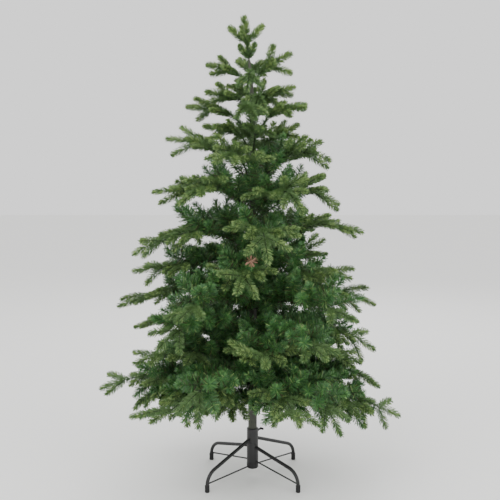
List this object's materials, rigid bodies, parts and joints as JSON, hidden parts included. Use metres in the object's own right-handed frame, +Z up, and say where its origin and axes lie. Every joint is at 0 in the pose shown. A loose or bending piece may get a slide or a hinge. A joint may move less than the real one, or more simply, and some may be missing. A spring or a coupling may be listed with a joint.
{
  "type": "christmas tree",
  "caption": "Slim artificial fir on a folding tubular stand, with tiers of moulded needle sprays and film brushes on a stepped pole.",
  "frame": {"origin": "on the floor, at the pole's axis and midway between the four feet", "axes": "+Z up along the pole, -Y towards the side of the tree shown in front, +X to the viewer's right"},
  "size_m": [0.9884, 0.8778, 1.4974],
  "materials": {
    "coated_pole": "dark grey-brown coated steel tube, semi-matt",
    "painted_tube": "charcoal powder-painted steel tube, satin",
    "painted_stand": "black powder-painted steel tube and rod, satin",
    "foot_plastic": "black moulded soft plastic, matt",
    "wrapped_wire": "steel wire wound with green film",
    "needles": "moulded and cut-film green needles with lighter yellow-green ends"
  },
  "bodies": {
    "root": {"pole": "coated_pole", "stand_core": "painted_tube", "stand_sleeve": "painted_tube", "stand_screw": "painted_stand", "leg_front_left": "painted_stand", "leg_front_right": "painted_stand", "leg_back_right": "painted_stand", "leg_back_left": "painted_stand", "strut_front_left": "painted_stand", "strut_front_right": "painted_stand", "strut_back_right": "painted_stand", "strut_back_left": "painted_stand", "foot_cap_front_left": "foot_plastic", "foot_cap_front_right": "foot_plastic", "foot_cap_back_right": "foot_plastic", "foot_cap_back_left": "foot_plastic", "bough_1": "wrapped_wire", "bough_2": "wrapped_wire", "bough_3": "wrapped_wire", "bough_4": "wrapped_wire", "bough_5": "wrapped_wire", "bough_6": "wrapped_wire", "foliage_1_1": "needles", "foliage_1_2": "needles", "foliage_1_3": "needles", "foliage_1_4": "needles", "foliage_1_5": "needles", "foliage_1_6": "needles", "foliage_2_1": "needles", "foliage_2_2": "needles", "foliage_2_3": "needles", "foliage_2_4": "needles", "foliage_2_5": "needles", "foliage_3_1": "needles", "foliage_3_2": "needles", "foliage_3_3": "needles", "foliage_3_4": "needles", "foliage_3_5": "needles", "foliage_4_1": "needles", "foliage_4_2": "needles", "foliage_4_3": "needles", "foliage_4_4": "needles", "foliage_4_5": "needles", "foliage_5_1": "needles", "foliage_5_2": "needles", "foliage_5_3": "needles", "foliage_5_4": "needles", "foliage_6_1": "needles", "foliage_6_2": "needles", "foliage_6_3": "needles", "foliage_6_4": "needles", "foliage_7_1": "needles", "foliage_7_2": "needles", "foliage_7_3": "needles", "foliage_7_4": "needles", "foliage_top": "needles"}
  },
  "joints": []
}
